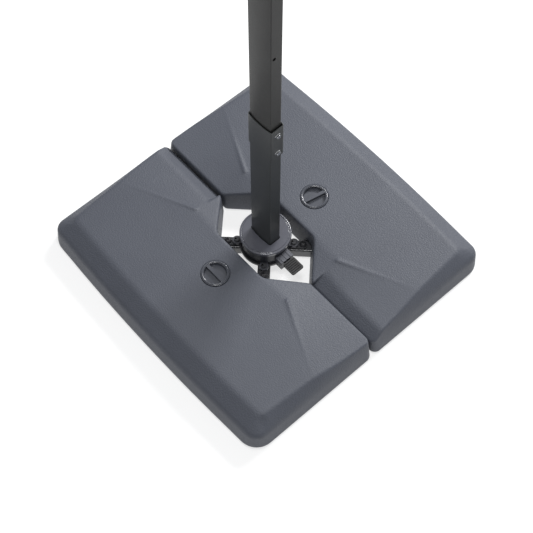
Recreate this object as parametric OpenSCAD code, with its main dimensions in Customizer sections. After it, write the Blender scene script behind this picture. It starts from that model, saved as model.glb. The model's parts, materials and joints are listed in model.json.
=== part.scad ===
// Swivelling parasol base.
// Two fillable ballast weights stand round a steel cross foot. A turret turns on
// the middle of the cross and carries the mast; a foot pedal works its brake.
// X runs along the split between the weights, Z is up, the floor is Z = 0 and
// the turret turns about the Z axis. Distances are in millimetres.

/* [Ballast weights] */
// Footprint along the split between the two weights
base_len = 1000; // [830:10:1200]
// Footprint across the split
base_wid = 1000; // [830:10:1200]
// Height of the flat top
top_h = 105; // [95:1:126]
// Height at which the outer wall turns into the sloping edge
wall_h = 72; // [60:1:86]
// Width of the sloping edge on the long outer side
edge_slope_w = 74; // [50:1:90]
// How far the long outer side bows out at its middle
side_bow = 13; // [0:1:20]
// Plan radius of the outer corners at the floor; they tighten towards the top
corner_r = 66; // [58:1:110]
// Gap between the two weights
split_gap = 5; // [3:0.5:10]
// Thickness of the moulded shell
shell_t = 4; // [3:0.5:6]
// Height of the ballast filling inside the shell
fill_level = 74; // [60:1:78]

/* [Notch round the turret] */
// Clearance between the notch wall at the floor and the arm bolts
notch_clear = 3; // [2:0.5:12]
// How far the notch wall leans back over the height of the weight
notch_draft = 7; // [2:0.5:12]
// Drop of the top surface at the tip of the notch
tip_drop = 23; // [10:1:30]
// Drop of the top surface at the outer end of the split
end_drop = 18; // [8:1:28]
// Slope of the long crease in plan, as Y over X
crease_slope = 0.48; // [0.3:0.02:0.7]
// Width of the lifting recess along one side of the split
grip_w = 55; // [40:1:70]
// Height of the recess edge at the split
grip_h = 62; // [50:1:75]

/* [Filler caps] */
// Distance from the turret axis to each filler cap
cap_y = 208; // [190:1:240]
// Radius of the cap flange
cap_r = 45; // [37:0.5:54]
// Radius of the filler neck bore
neck_r = 36; // [28:0.5:36]
// Width of the grip bar across the cap
cap_bar_w = 11; // [8:0.5:16]
// Angle of the front cap's grip bar from X
front_bar_angle = 0; // [-90:1:90]
// Angle of the rear cap's grip bar from X
rear_bar_angle = 78; // [-90:1:90]

/* [Cross foot] */
// Side of the square arm tube
arm_w = 40; // [33:1:48]
// Wall of the arm tube
arm_wall = 2.5; // [2:0.5:4]
// Reach of each arm from the turret axis
arm_reach = 480; // [400:5:520]
// Thickness of the rubber foot pads
pad_t = 5; // [3:0.5:8]
// Thickness of the centre plate
plate_t = 8; // [6:0.5:12]
// Side and height clearance between an arm and its channel in the weight
channel_clear = 3; // [2:0.5:6]

/* [Turret] */
// Least wall between the mast pocket and the outside of the hub
hub_wall = 13.2; // [8:0.1:18]
// Radial thickness of the swivel bush
bush_t = 4; // [3:0.5:6]
// Wall of the fixed housing
housing_wall = 10; // [7:0.5:14]
// How far the turret cap overhangs the housing
cap_overhang = 6; // [3:0.5:8]
// Height of the top of the turret cap
turret_top = 120; // [116:1:140]
// Thickness of the turret cap
turret_cap_t = 12; // [9:0.5:14]
// Radial clearance of every running fit
run_gap = 0.05; // [0.02:0.01:0.1]
// Radius of the round bolt lugs on the housing
lug_r = 15; // [12:0.5:18]

/* [Foot pedal] */
// Width of the pedal pad
pedal_w = 46; // [38:1:56]
// Length of the pedal pad
pedal_len = 49; // [40:1:56]
// Width of the pedal bracket
bracket_w = 50; // [44:1:60]
// Radius of the pedal's pivot pin
pin_r = 4; // [3:0.25:5]

/* [Mast] */
// Mast section along X
mast_l = 88; // [73:1:106]
// Mast section along Y
mast_w = 48; // [40:1:58]
// Bulge of the long faces of the mast
mast_bow = 3; // [0:0.5:5]
// Wall of both mast tubes
mast_wall = 1.5; // [1.5:0.25:3]
// Outer corner radius of the lower mast
mast_corner = 4; // [3:0.5:8]
// Bottom of the clamp sleeve
sleeve_z = 605; // [500:5:650]
// Length of the clamp sleeve
sleeve_len = 132; // [110:1:160]
// Wall of the clamp sleeve
sleeve_wall = 3; // [2:0.5:4]
// Height of the open top of the mast
mast_top = 1280; // [1000:10:1400]
// Height of the cross hole in the upper mast
mast_hole_z = 1040; // [900:5:1100]
// Radius of the cross hole in the upper mast
mast_hole_r = 5.5; // [3:0.5:7]

/* [Hidden] */
$fn = 64;

// Through cuts run this far past a face
over = 1;
diag = 45;
diagonals = [45, 135, 225, 315];

// Cross foot levels
arm_top = pad_t + arm_w;
plate_top = arm_top + plate_t;
end_cap_t = 3;
end_cap_plug = 20;
fit_gap = 0.2;
foot_pad_len = 50;
foot_pad_w = arm_w - 4;
foot_pad_at = arm_reach - 35;
channel_w = arm_w + 2 * channel_clear;
channel_h = arm_top + channel_clear;
channel_end = arm_reach + end_cap_t + channel_clear + 2;

// Fasteners: shank radii and their holes
bolt_r = 5;
bolt_hole_r = 5.25;
hex_r = 9.8;
dome_r = 12;
dome_h = 9;
nut_t = 8;

// Turret radii, from the mast outwards
hub_r = norm([mast_l / 2, mast_w / 2 - mast_bow]) + hub_wall;
bush_in_r = hub_r + run_gap;
bush_out_r = bush_in_r + bush_t;
housing_in_r = bush_out_r + run_gap;
housing_r = housing_in_r + housing_wall;
turret_cap_r = housing_r + cap_overhang;
lug_at = housing_r + 14;
lug_t = 9;
arm_bolt_at = lug_at + lug_r + 2 + dome_r;
tab_r = dome_r + 2;
tab_w = 2 * tab_r - 1;
plate_r = lug_at - bolt_hole_r - 2;

// Turret levels
washer_t = 4;
hub_bottom = plate_top + washer_t;
hub_floor = hub_bottom + 13;
mast_seat = hub_floor + 14;
hub_top = turret_top - turret_cap_t;
housing_top = hub_top - 1;
king_r = 10 - run_gap;
king_hole_r = 10;
king_loose_r = 10.3;
king_washer_r = 19;
king_washer_t = 2.5;
king_head_t = 8;
king_head_r = 17;
king_nut_r = 17;
king_nut_t = 9;
counterbore_r = 22;
groove_w = 2;
groove_r = turret_cap_r - 6;
slot_gap = 2;

// Pedal and brake, all placed from the outside of the housing
pivot_x = housing_r + 12;
pivot_z = plate_top + 9;
bracket_out = pivot_x + 15;
bracket_in = housing_r - 8;
bracket_top = pivot_z + 21.5;
cheek_gap = 26;
slot_top = pivot_z + 18.4;
pin_hole_r = pin_r + run_gap;
barrel_r = pin_r + 3.5;
barrel_w = 16;
finger_h = 13.5;
finger_tip_r = 2;
finger_t = 2.4;
finger_slot = 2 * (finger_tip_r + 0.3);
shoe_w = 18;
shoe_low = pivot_z + 11;
shoe_high = pivot_z + 18;
shoe_end = pivot_x + 6;
shoe_slot_top = pivot_z + 16;
lining_t = 3;
lining_in_r = hub_r + 0.2;
lining_out_r = lining_in_r + lining_t;
window_gap = 0.3;
pad_in = pivot_x + 18;
pad_top = pivot_z + 20.5;
rib_h = 2.5;
rib_w = 3;
rib_step = 7;
tread_t = 3;
lever_plate_t = 4;
lever_plate_top = pad_top - tread_t - rib_h - 1;
lever_rim = 2;
spring_wire_r = 0.75;
spring_mean_r = pin_r + 2;
spring_turns = 2;
spring_clear = 0.15;
spring_room = cheek_gap / 2 - barrel_w / 2 - 2 * spring_clear;
spring_pitch = (spring_room - 2 * spring_wire_r) / spring_turns;
ridge_h = 1.5;

// Mast: the upper tube slides inside the lower one
slide_gap = 0.2;
upper_l = mast_l - 2 * mast_wall - 2 * slide_gap;
upper_w = mast_w - 2 * mast_wall - 2 * slide_gap;
upper_corner = mast_corner - mast_wall;
lower_top = sleeve_z + sleeve_len - 12;
upper_bottom = sleeve_z - 45;
stop_t = 3;
sleeve_gap = 0.2;
nut_room = 3.3;
sleeve_in_l = mast_l + sleeve_gap + nut_room;
sleeve_in_w = mast_w + 2 * sleeve_gap;
sleeve_shift = (nut_room - sleeve_gap) / 2;
sleeve_face = sleeve_shift + sleeve_in_l / 2 + sleeve_wall;
clamp_inset = 22;
clamp_heights = [sleeve_z + clamp_inset, sleeve_z + sleeve_len - clamp_inset - 6];
clamp_r = 4;
clamp_hole_r = 4.05;
clamp_clear_r = 4.6;
clamp_head_r = 7.5;
clamp_head_t = 6;
clamp_nut_t = 2.7;
mast_hole_y = -8;

// Weights: outline levels and the notch
half_len = base_len / 2;
half_wid = base_wid / 2;
wall_draft = 13;
top_in_split = 25;
top_in_corner = 55;
split_corner_r = 25;
notch_low = arm_bolt_at / sqrt(2) + tab_r + notch_clear;
notch_high = notch_low + notch_draft;
crease_x = 2 * notch_high;
crease_y = notch_high - 4;
crease_end = half_len + 30;
strips = 6;

// Filler caps
recess_depth = 5;
seal_t = 2;
cap_proud = 2.5;
cap_flange_z = top_h - recess_depth + seal_t;
neck_depth = 25;
neck_wall = 4;
recess_r = cap_r + 1;
plug_gap = 0.3;
plug_end = top_h - neck_depth + 2;
well_r = cap_r - 11;
well_depth = 14;

module bar(x0, x1, w, z0, z1) {
    translate([x0, -w / 2, z0]) cube([x1 - x0, w, z1 - z0]);
}

module ring(r_in, r_out, z0, z1) {
    difference() {
        translate([0, 0, z0]) cylinder(r = r_out, h = z1 - z0);
        translate([0, 0, z0 - over]) cylinder(r = r_in, h = z1 - z0 + 2 * over);
    }
}

module hole(r, z0, z1) {
    translate([0, 0, z0]) cylinder(r = r, h = z1 - z0);
}

module at_diagonals(r) {
    for (a = diagonals) rotate(a) translate([r, 0, 0]) children();
}

// Plate outline with true round corners
module round_plate(x0, x1, w, r, z0, z1) {
    translate([0, 0, z0]) linear_extrude(z1 - z0) {
        translate([x0 + r, -w / 2]) square([x1 - x0 - 2 * r, w]);
        translate([x0, -w / 2 + r]) square([x1 - x0, w - 2 * r]);
        for (x = [x0 + r, x1 - r], y = [-w / 2 + r, w / 2 - r]) translate([x, y]) circle(r = r);
    }
}

// ---- Cross foot ----

module tube_along_x(x0, x1) {
    difference() {
        bar(x0, x1, arm_w, pad_t, arm_top);
        bar(x0 - over, x1 + over, arm_w - 2 * arm_wall, pad_t + arm_wall, arm_top - arm_wall);
    }
}

module arm_bolt_hole() {
    translate([arm_bolt_at, 0, 0]) hole(bolt_hole_r, arm_top - 2 * arm_wall, arm_top + over);
}

module long_beam() {
    color("#3a3c40") rotate(diag) difference() {
        tube_along_x(-arm_reach, arm_reach);
        arm_bolt_hole();
        rotate(180) arm_bolt_hole();
        hole(king_loose_r, arm_top - 2 * arm_wall, arm_top + over);
    }
}

module short_arm(angle) {
    color("#3a3c40") rotate(angle) difference() {
        tube_along_x(arm_w / 2, arm_reach);
        arm_bolt_hole();
    }
}

module front_right_arm() { short_arm(-diag); }

module rear_left_arm() { short_arm(180 - diag); }

module arm_end_caps() {
    plug_w = arm_w - 2 * arm_wall - 2 * fit_gap;
    color("#1d1e20") at_diagonals(arm_reach) {
        bar(0, end_cap_t, arm_w, pad_t, arm_top);
        bar(-end_cap_plug, 0, plug_w, pad_t + arm_wall + fit_gap, arm_top - arm_wall - fit_gap);
    }
}

module foot_pads() {
    color("#18181a") at_diagonals(foot_pad_at)
        round_plate(-foot_pad_len / 2, foot_pad_len / 2, foot_pad_w, 5, 0, pad_t);
}

module centre_plate() {
    color("#34363a") difference() {
        union() {
            hole(plate_r, arm_top, plate_top);
            for (a = diagonals) rotate(a) bar(0, arm_bolt_at, tab_w, arm_top, plate_top);
            at_diagonals(arm_bolt_at) hole(tab_r, arm_top, plate_top);
            bar(0, bracket_out, bracket_w, arm_top, plate_top);
        }
        hole(king_loose_r, arm_top - over, plate_top + over);
        at_diagonals(arm_bolt_at) hole(bolt_hole_r, arm_top - over, plate_top + over);
        at_diagonals(lug_at) hole(bolt_hole_r, arm_top - over, plate_top + over);
    }
}

module hexagon(r, z0, z1) {
    translate([0, 0, z0]) cylinder(r = r, h = z1 - z0, $fn = 6);
}

// Low dome with a flat seat at Z = 0
module dome(r, h) {
    ball = (r * r + h * h) / (2 * h);
    intersection() {
        translate([0, 0, h - ball]) sphere(r = ball);
        cylinder(r = r + over, h = h + over);
    }
}

module arm_bolts() {
    color("#2c2d31") at_diagonals(arm_bolt_at) {
        translate([0, 0, plate_top]) dome(dome_r, dome_h);
        hole(bolt_r, arm_top - arm_wall - nut_t - 2, plate_top + 2);
    }
}

module arm_nuts() {
    nut_top = arm_top - arm_wall;
    color("silver") at_diagonals(arm_bolt_at) difference() {
        hexagon(hex_r, nut_top - nut_t, nut_top);
        hole(bolt_r + run_gap, nut_top - nut_t - over, nut_top + over);
    }
}

// ---- Swivel ----

module brake_window() {
    bar(0, housing_r + over, shoe_w + 2 * window_gap, shoe_low - window_gap, shoe_high + window_gap);
}

module swivel_housing() {
    color("#3c3e46") difference() {
        union() {
            hole(housing_r, plate_top, housing_top);
            for (a = diagonals) rotate(a) bar(0, lug_at, 2 * lug_r - 6, plate_top, plate_top + lug_t);
            at_diagonals(lug_at) hole(lug_r, plate_top, plate_top + lug_t);
        }
        hole(housing_in_r, plate_top - over, housing_top + over);
        at_diagonals(lug_at) hole(bolt_hole_r, plate_top - over, plate_top + lug_t + over);
        brake_window();
    }
}

module housing_bolts() {
    seat = plate_top + lug_t;
    color("#8d9096") at_diagonals(lug_at) {
        hexagon(hex_r - 1, seat, seat + 6);
        hole(bolt_r, arm_top + 0.4, seat + 1);
    }
}

module swivel_bush() {
    color("ivory") difference() {
        ring(bush_in_r, bush_out_r, hub_bottom, housing_top - 1);
        brake_window();
    }
}

module thrust_washer() {
    color("ivory") ring(king_loose_r, hub_r - 2, plate_top, hub_bottom);
}

module king_bolt() {
    head_z = hub_floor + fit_gap + king_washer_t;
    color("silver") {
        hexagon(king_head_r, head_z, head_z + king_head_t);
        hole(king_r, arm_top - arm_wall - king_nut_t - 2, head_z + 1);
    }
}

module king_washer() {
    low = hub_floor + fit_gap;
    color("silver") ring(king_loose_r, king_washer_r, low, low + king_washer_t);
}

module king_nut() {
    nut_top = arm_top - arm_wall;
    color("silver") difference() {
        hexagon(min(king_nut_r, arm_w / 2 - arm_wall - 0.5), nut_top - king_nut_t, nut_top);
        hole(king_r + run_gap, nut_top - king_nut_t - over, nut_top + over);
    }
}

module mast_hub() {
    color("#55585c") difference() {
        hole(hub_r, hub_bottom, hub_top);
        hole(king_hole_r, hub_bottom - over, hub_floor + over);
        hole(counterbore_r, hub_floor, mast_seat + over);
        translate([0, 0, mast_seat])
            linear_extrude(hub_top) polygon(mast_section(mast_l, mast_w, mast_corner, slide_gap));
    }
}

module turret_cap() {
    edge_r = 3;
    color("#4a4c55") difference() {
        rotate_extrude() {
            square_from(turret_cap_r - edge_r, hub_top, turret_top);
            square_from(turret_cap_r, hub_top, turret_top - edge_r);
            translate([turret_cap_r - edge_r, turret_top - edge_r]) circle(r = edge_r);
        }
        ring(groove_r, groove_r + groove_w, turret_top - 1.5, turret_top + over);
        translate([0, 0, hub_top - over]) linear_extrude(turret_cap_t + 2 * over)
            polygon(mast_section(mast_l, mast_w, mast_corner, slot_gap));
    }
}

// Rectangle from the axis out to r, for a turned profile
module square_from(r, z0, z1) {
    translate([0, z0]) square([r, z1 - z0]);
}

// ---- Foot pedal and brake ----

module along_y(x, z, r, w) {
    translate([x, w / 2, z]) rotate([90, 0, 0]) cylinder(r = r, h = w);
}

module pedal_bracket() {
    color("#5b5e66") difference() {
        union() {
            bar(bracket_in, bracket_out, bracket_w, plate_top, bracket_top);
            for (y = [-1, 0, 1]) translate([0, y * bracket_w / 3.4, 0])
                bar(housing_r + 1, bracket_out, 5, bracket_top - 1, bracket_top + ridge_h);
        }
        hole(housing_r + run_gap, plate_top - over, bracket_top + 2 * over);
        bar(pivot_x - 10, bracket_out + over, cheek_gap, plate_top - over, slot_top);
        bar(bracket_in, pivot_x, shoe_w + 2 * window_gap, shoe_low - window_gap, slot_top);
        along_y(pivot_x, pivot_z, pin_hole_r, bracket_w + 2 * over);
    }
}

module pedal_pin() {
    color("silver") along_y(pivot_x, pivot_z, pin_r, bracket_w - 1);
}

// Round wire wound on the Z axis, rising from Z = 0
module coil(mean_r, wire_r, turns, pitch) {
    steps = 20 * turns;
    sides = 8;
    points = [for (k = [0:steps], b = [0:sides - 1])
        let (a = 360 * turns * k / steps, q = 360 * b / sides, r = mean_r + wire_r * cos(q))
        [r * cos(a), r * sin(a), pitch * turns * k / steps + wire_r * sin(q)]];
    side_faces = [for (k = [0:steps - 1], b = [0:sides - 1]) each
        let (c = (b + 1) % sides, i = k * sides, j = i + sides)
        [[i + b, i + c, j + b], [i + c, j + c, j + b]]];
    first = [for (b = [sides - 1:-1:0]) b];
    last = [for (b = [0:sides - 1]) steps * sides + b];
    polyhedron(points, concat(side_faces, [first, last]));
}

module pedal_springs() {
    start = barrel_w / 2 + spring_wire_r + spring_clear;
    color("silver") for (side = [0, 180])
        translate([pivot_x, 0, pivot_z]) rotate([90, 0, side]) translate([0, 0, start])
            coil(spring_mean_r, spring_wire_r, spring_turns, spring_pitch);
}

module pedal_lever() {
    tip_z = pivot_z + finger_h;
    color("#4a4c52") difference() {
        union() {
            hull() {
                along_y(pivot_x, pivot_z, barrel_r, barrel_w, $fn = 32);
                bar(pad_in + 2, pad_in + 20, barrel_w, lever_plate_top - 9, lever_plate_top - 1);
            }
            along_y(pivot_x, pivot_z, barrel_r, barrel_w);
            bar(pivot_x - finger_t / 2, pivot_x + finger_t / 2, barrel_w, pivot_z, tip_z);
            along_y(pivot_x, tip_z, finger_tip_r, barrel_w);
            round_plate(pad_in + lever_rim, pad_in + pedal_len - lever_rim, pedal_w - 2 * lever_rim,
                4, lever_plate_top - lever_plate_t, lever_plate_top);
        }
        along_y(pivot_x, pivot_z, pin_hole_r, barrel_w + 2 * over);
    }
}

module pedal_pad() {
    tread_top = pad_top - rib_h;
    ribs = floor((pedal_len - 8) / rib_step);
    color("#1c1c1f") difference() {
        union() {
            round_plate(pad_in, pad_in + pedal_len, pedal_w, 6, lever_plate_top - 3, tread_top);
            for (i = [0:ribs]) translate([pad_in + 4 + i * rib_step, 0, 0])
                bar(0, rib_w, pedal_w - 10, tread_top - 1, pad_top);
        }
        round_plate(pad_in + lever_rim, pad_in + pedal_len - lever_rim, pedal_w - 2 * lever_rim,
            4, lever_plate_top - lever_plate_t - over, lever_plate_top);
        bar(pad_in - over, pad_in + 10, barrel_w + 1, pivot_z, lever_plate_top);
    }
}

module brake_shoe() {
    color("#8d9096") difference() {
        bar(0, shoe_end, shoe_w, shoe_low, shoe_high);
        hole(lining_out_r, shoe_low - over, shoe_high + over);
        bar(pivot_x - finger_slot / 2, pivot_x + finger_slot / 2, shoe_w + over,
            shoe_low - over, shoe_slot_top);
    }
}

module brake_lining() {
    color("#7a5b40") intersection() {
        ring(lining_in_r, lining_out_r, shoe_low, shoe_high);
        bar(0, shoe_end, shoe_w, shoe_low, shoe_high);
    }
}

// ---- Mast ----

// Rounded rectangle whose long faces bulge; grow moves every face outwards
function mast_section(l, w, r, grow) =
    let (a = l / 2 - r, b = w / 2 - mast_bow - r, q = r + grow, n = 6, m = 10,
        corner = [for (i = [0:n]) [a + q * cos(90 * i / n), b + q * sin(90 * i / n)]],
        face = [for (i = [1:m - 1]) let (x = a * (1 - 2 * i / m))
            [x, b + q + mast_bow * (1 - pow(x / a, 2))]],
        left = [for (i = [n:-1:0]) [-corner[i][0], corner[i][1]]],
        upper = concat(corner, face, left),
        lower = [for (p = upper) [-p[0], -p[1]]])
    concat(upper, lower);

module mast_tube(l, w, r, wall, z0, z1) {
    difference() {
        translate([0, 0, z0]) linear_extrude(z1 - z0) polygon(mast_section(l, w, r, 0));
        translate([0, 0, z0 - over])
            linear_extrude(z1 - z0 + 2 * over) polygon(mast_section(l, w, r, -wall));
    }
}

module along_x(x0, x1, y, z, r) {
    translate([x0, y, z]) rotate([0, 90, 0]) cylinder(r = r, h = x1 - x0);
}

module lower_mast() {
    color("#34373a") difference() {
        mast_tube(mast_l, mast_w, mast_corner, mast_wall, mast_seat, lower_top);
        for (z = clamp_heights) along_x(0, mast_l, 0, z, clamp_clear_r);
    }
}

module mast_stop_plate() {
    color("#34373a") translate([0, 0, upper_bottom - stop_t]) linear_extrude(stop_t)
        polygon(mast_section(mast_l, mast_w, mast_corner, -mast_wall - fit_gap));
}

module mast_sleeve() {
    grow = (sleeve_in_w - mast_w) / 2;
    color("#34373a") difference() {
        translate([sleeve_shift, 0, sleeve_z]) linear_extrude(sleeve_len)
            polygon(mast_section(sleeve_in_l - 2 * grow, mast_w, mast_corner, grow + sleeve_wall));
        translate([sleeve_shift, 0, sleeve_z - over]) linear_extrude(sleeve_len + 2 * over)
            polygon(mast_section(sleeve_in_l - 2 * grow, mast_w, mast_corner, grow));
        for (z = clamp_heights) along_x(0, mast_l, 0, z, clamp_hole_r);
    }
}

module clamp_bolts() {
    color("#d9dadc") for (z = clamp_heights) {
        along_x(upper_l / 2 + 0.05, sleeve_face + 1, 0, z, clamp_r);
        translate([sleeve_face, 0, z]) rotate([0, 90, 0])
            cylinder(r = clamp_head_r, h = clamp_head_t, $fn = 6);
    }
}

module clamp_nuts() {
    inner = sleeve_face - sleeve_wall;
    color("silver") for (z = clamp_heights) difference() {
        translate([inner - clamp_nut_t, 0, z]) rotate([0, 90, 0])
            cylinder(r = clamp_head_r, h = clamp_nut_t, $fn = 6);
        along_x(0, mast_l, 0, z, clamp_hole_r);
    }
}

module upper_mast() {
    color("#4b4c4d") difference() {
        mast_tube(upper_l, upper_w, upper_corner, mast_wall, upper_bottom, mast_top);
        along_x(-mast_l, mast_l, mast_hole_y, mast_hole_z, mast_hole_r);
    }
}

// ---- Ballast weights: the rear one is drawn, the front one is it turned half round ----

// Outline of the rear half; xs and xo are its half lengths at the split and at the outer corner
function half_outline(xs, xo, w, bow, ro, ri, g) =
    let (n = 8, m = 14, a = xo - ro,
        split_arc = [for (i = [0:n]) [xs - ri + ri * sin(90 * i / n), g + ri - ri * cos(90 * i / n)]],
        outer_arc = [for (i = [0:n]) [a + ro * cos(90 * i / n), w - bow - ro + ro * sin(90 * i / n)]],
        right = concat(split_arc, outer_arc),
        side = [for (i = [1:m - 1]) let (x = a * (1 - 2 * i / m)) [x, w - bow * pow(x / a, 2)]],
        left = [for (i = [len(right) - 1:-1:0]) [-right[i][0], right[i][1]]])
    concat(right, side, left);

module outline_slice(z, xs, xo, w, ro, ri, g) {
    translate([0, 0, z]) linear_extrude(0.01) polygon(half_outline(xs, xo, w, side_bow, ro, ri, g));
}

// Convex block of one half, inset by t on every face
module half_block(t) {
    g = split_gap / 2 + t;
    ri = split_corner_r - t;
    low = half_len - t;
    high = half_len - wall_draft - t;
    hull() {
        outline_slice(t, low, low, half_wid - t, corner_r - t, ri, g);
        outline_slice(wall_h - 0.4 * t, high, high, half_wid - wall_draft - t, corner_r - 27 - t, ri, g);
        outline_slice(top_h - t - 0.01, half_len - top_in_split - t, half_len - top_in_corner - 0.5 * t,
            half_wid - edge_slope_w - 0.5 * t, corner_r - 48, ri, g);
    }
}

// Space over the sunk top surface between a crease and the split, on the +X side
module facet_space(t) {
    top = top_h + 40;
    reach = crease_end - crease_x;
    steps = [for (i = [0:strips]) i / strips];
    crease = concat([[notch_high * 0.9, notch_high, top_h]],
        [for (s = steps) [crease_x + s * reach, crease_y + s * reach * crease_slope, top_h]]);
    split = concat([[notch_high * 0.9, 0, top_h - tip_drop]],
        [for (s = steps) [crease_x + s * reach, 0, top_h - tip_drop + s * (tip_drop - end_drop)]]);
    // The surface carries on a little past the crease and past the split
    far = [for (i = [0:len(crease) - 1]) crease[i] + 0.15 * (crease[i] - split[i]) - [0, 0, t]];
    near = [for (i = [0:len(split) - 1]) split[i] - 0.05 * (crease[i] - split[i]) - [0, 0, t]];
    n = len(crease);
    points = concat(far, near, [for (p = far) [p[0], p[1], top]], [for (p = near) [p[0], p[1], top]]);
    cells = [for (i = [0:n - 2]) each [
        [i, i + 1, n + i], [i + 1, n + i + 1, n + i],
        [2 * n + i, 3 * n + i, 2 * n + i + 1], [2 * n + i + 1, 3 * n + i, 3 * n + i + 1],
        [i, 2 * n + i, i + 1], [i + 1, 2 * n + i, 2 * n + i + 1],
        [n + i, n + i + 1, 3 * n + i], [n + i + 1, 3 * n + i + 1, 3 * n + i]]];
    ends = [[0, n, 2 * n], [n, 3 * n, 2 * n],
        [n - 1, 3 * n - 1, 2 * n - 1], [2 * n - 1, 3 * n - 1, 4 * n - 1]];
    polyhedron(points, [for (f = concat(cells, ends)) [f[2], f[1], f[0]]]);
}

// Space over the sloped lifting recess beside the split, on the +X side
module grip_space(t) {
    drop = t * 1.15;
    rise = top_h - tip_drop + tip_drop * grip_w / crease_y - grip_h;
    slope = rise / grip_w;
    translate([crease_x + 2 - t, 0, 0]) rotate([90, 0, 90]) linear_extrude(half_len)
        polygon([[-5, grip_h - 5 * slope - drop], [grip_w * 2, grip_h + 2 * rise - drop],
            [-5, grip_h + 2 * rise - drop]]);
}

module notch_space(t) {
    low = notch_low + t;
    growth = (notch_high + t) / low;
    translate([0, 0, -over]) linear_extrude(top_h + 2 * over, scale = growth)
        polygon([[-2 * low, 0], [-low, low], [low, low], [2 * low, 0], [2 * low, -low], [-2 * low, -low]]);
}

module arm_channels(t) {
    for (a = [diag, 180 - diag]) rotate(a)
        bar(0, channel_end + t, channel_w + 2 * t, -over, channel_h + t);
}

module half_form(t) {
    difference() {
        half_block(t);
        facet_space(t);
        mirror([1, 0, 0]) facet_space(t);
        grip_space(t);
        notch_space(t);
        arm_channels(t);
    }
}

module neck_solid(t) {
    translate([0, cap_y, 0]) {
        hole(neck_r + neck_wall + t, top_h - neck_depth - t, top_h + over);
        hole(recess_r + neck_wall + t, top_h - recess_depth - neck_wall - t, top_h + over);
    }
}

module weight() {
    color("#62666f") difference() {
        half_form(0);
        difference() {
            half_form(shell_t);
            neck_solid(0);
        }
        translate([0, cap_y, 0]) {
            hole(neck_r, top_h - neck_depth - over, top_h + over);
            hole(recess_r, top_h - recess_depth, top_h + over);
        }
    }
}

module ballast() {
    color("#8fb0c4") intersection() {
        half_form(shell_t + fit_gap);
        bar(-half_len, half_len, base_wid, 0, fill_level);
    }
}

module cap_seal() {
    color("#202124") translate([0, cap_y, 0])
        ring(neck_r + plug_gap, cap_r - 1.5, top_h - recess_depth, cap_flange_z);
}

module filler_cap(bar_angle) {
    edge_r = 2;
    cap_top = top_h + cap_proud;
    color("#5d616a") translate([0, cap_y, 0]) difference() {
        union() {
            rotate_extrude() {
                square_from(cap_r - edge_r, cap_flange_z, cap_top);
                square_from(cap_r, cap_flange_z, cap_top - edge_r);
                translate([cap_r - edge_r, cap_top - edge_r]) circle(r = edge_r);
            }
            hole(neck_r - plug_gap, plug_end, cap_flange_z + 1);
        }
        rotate(bar_angle) difference() {
            hole(well_r, cap_top - well_depth, cap_top + over);
            bar(-cap_r, cap_r, cap_bar_w, 0, cap_top);
        }
    }
}

module rear_weight() { weight(); }

module front_weight() { rotate(180) weight(); }

module rear_ballast() { ballast(); }

module front_ballast() { rotate(180) ballast(); }

module rear_cap_seal() { cap_seal(); }

module front_cap_seal() { rotate(180) cap_seal(); }

module rear_cap() { filler_cap(rear_bar_angle); }

module front_cap() { rotate(180) filler_cap(front_bar_angle); }

long_beam();
front_right_arm();
rear_left_arm();
arm_end_caps();
foot_pads();
centre_plate();
arm_bolts();
arm_nuts();
swivel_housing();
housing_bolts();
swivel_bush();
thrust_washer();
king_bolt();
king_washer();
king_nut();
pedal_bracket();
pedal_pin();
pedal_springs();
pedal_lever();
pedal_pad();
brake_shoe();
brake_lining();
mast_hub();
turret_cap();
lower_mast();
mast_stop_plate();
mast_sleeve();
clamp_bolts();
clamp_nuts();
upper_mast();
front_weight();
front_ballast();
front_cap_seal();
front_cap();
rear_weight();
rear_ballast();
rear_cap_seal();
rear_cap();
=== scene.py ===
# %% [markdown]
# # A swivelling parasol base
# Two fillable ballast weights stand round a steel cross foot. A turret turns on the middle
# of the cross and carries a two-part mast, and a foot pedal works the turret's brake.
# The engineering model gives every size and joint. This lesson gives it its looks: rounded
# mouldings, rolled edges, bolts, rubber and paint, one piece at a time.

import json
import math

import bmesh
import bpy
import numpy as np
from mathutils import Matrix, Vector


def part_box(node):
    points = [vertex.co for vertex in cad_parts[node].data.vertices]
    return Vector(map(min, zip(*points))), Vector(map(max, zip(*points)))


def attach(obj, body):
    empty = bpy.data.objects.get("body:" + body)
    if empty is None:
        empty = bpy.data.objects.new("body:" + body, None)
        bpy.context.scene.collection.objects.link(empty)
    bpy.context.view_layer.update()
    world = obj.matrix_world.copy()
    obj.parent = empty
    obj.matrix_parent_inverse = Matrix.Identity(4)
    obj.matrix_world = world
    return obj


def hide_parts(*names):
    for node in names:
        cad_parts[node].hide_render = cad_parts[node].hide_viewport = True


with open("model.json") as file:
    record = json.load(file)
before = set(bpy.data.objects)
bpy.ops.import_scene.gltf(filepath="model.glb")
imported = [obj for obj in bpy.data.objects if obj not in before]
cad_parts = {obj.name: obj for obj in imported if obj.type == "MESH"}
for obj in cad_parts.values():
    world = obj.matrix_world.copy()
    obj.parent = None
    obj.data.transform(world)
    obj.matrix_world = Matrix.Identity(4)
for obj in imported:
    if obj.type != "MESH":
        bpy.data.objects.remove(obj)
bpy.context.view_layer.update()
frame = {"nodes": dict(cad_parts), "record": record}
nodes = frame["nodes"]
home = {n: body for body, ns in frame["record"]["behaviour"]["bodies"].items() for n in ns}
slot_of = {s["node"]: s["material_slot"] for s in frame["record"]["subparts"]}

# %% [markdown]
# ## The camera
# The camera stands high over the corner between the pedal side and the front weight. A long
# lens keeps the four sides of the square nearly parallel. The direction comes from a
# position and an aim, so the camera has no roll and needs no shift.

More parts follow.
